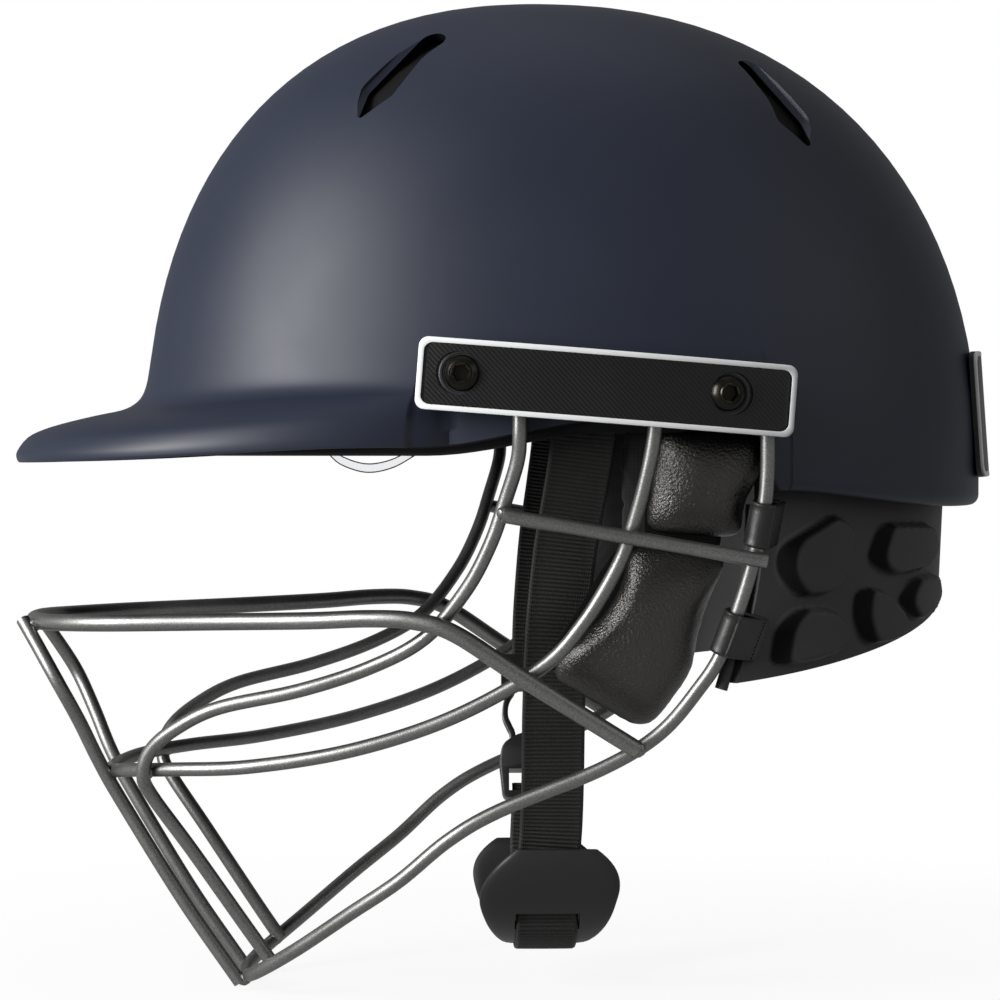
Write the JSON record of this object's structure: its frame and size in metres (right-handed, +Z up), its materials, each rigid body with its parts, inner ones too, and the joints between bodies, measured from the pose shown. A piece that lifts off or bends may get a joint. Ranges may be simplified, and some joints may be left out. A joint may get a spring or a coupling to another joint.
{
  "type": "cricket helmet",
  "caption": "Cricket helmet with a peaked shell, a welded steel bar face grille, cheek pads, a neck guard and a buckled chin strap with a rubber cup.",
  "frame": {"origin": "middle of the head opening at the height of the shell's rim", "axes": "+Z up through the crown, -X towards the peak and grille, -Y towards the wearer's left"},
  "size_m": [0.3222, 0.2182, 0.3236],
  "materials": {
    "shell": "matte",
    "liner": "matte",
    "comfort_pad": "matte",
    "bar": "satin",
    "plate": "satin",
    "inset": "satin",
    "screw": "satin",
    "spacer": "matte",
    "insert": "satin",
    "cheek_leather": "matte",
    "cheek_backing": "matte",
    "guard": "matte",
    "webbing": "matte",
    "clear_film": "gloss",
    "anchor": "matte",
    "buckle": "satin",
    "chin_rubber": "matte"
  },
  "bodies": {
    "helmet": {"outer_shell": "shell", "impact_liner": "liner", "front_pad": "comfort_pad", "crown_pad": "comfort_pad", "rear_pad": "comfort_pad", "side_pad_left": "comfort_pad", "side_pad_right": "comfort_pad", "cheek_lining_left": "comfort_pad", "cheek_lining_right": "comfort_pad", "top_rail": "bar", "middle_rail": "bar", "chin_rail": "bar", "brow_bar_left": "bar", "brow_bar_right": "bar", "nose_bar_left": "bar", "nose_bar_right": "bar", "side_strut_left": "bar", "side_strut_right": "bar", "grille_bracket_left": "bar", "grille_bracket_right": "bar", "side_plate_left": "plate", "side_plate_right": "plate", "rear_plate": "plate", "plate_inset_left": "inset", "plate_inset_right": "inset", "rear_inset": "inset", "grille_screws": "screw", "screw_spacers": "spacer", "shell_inserts": "insert", "cheek_pad_upper_left": "cheek_leather", "cheek_pad_upper_right": "cheek_leather", "cheek_pad_lower_left": "cheek_leather", "cheek_pad_lower_right": "cheek_leather", "cheek_plate_left": "cheek_backing", "cheek_plate_right": "cheek_backing", "neck_guard": "guard", "guard_beads": "guard", "guard_tabs_left": "webbing", "guard_tabs_right": "webbing", "clear_loop": "clear_film", "strap_anchors": "anchor"},
    "chin_strap": {"strap_long": "webbing", "strap_short": "webbing", "buckle_frame": "buckle", "buckle_body": "buckle", "chin_cup": "chin_rubber"},
    "prong_front": {"prong_front": "buckle"},
    "prong_rear": {"prong_rear": "buckle"}
  },
  "joints": [
    {"name": "chin_strap_swing", "type": "hinge", "parent": "helmet", "child": "chin_strap", "pos_m": [0.0115, 0, 0.032], "axis": [0, 1, 0], "range_deg": [0, 14]},
    {"name": "prong_front_squeeze", "type": "hinge", "parent": "chin_strap", "child": "prong_front", "pos_m": [-0.0075, 0.05246, -0.06696], "axis": [0, -0.9648, 0.2631], "range_deg": [0, 5], "stiffness_Nm_per_rad": 0.02},
    {"name": "prong_rear_squeeze", "type": "hinge", "parent": "chin_strap", "child": "prong_rear", "pos_m": [0.0125, 0.05246, -0.06696], "axis": [0, 0.9648, -0.2631], "range_deg": [0, 5], "stiffness_Nm_per_rad": 0.02}
  ]
}
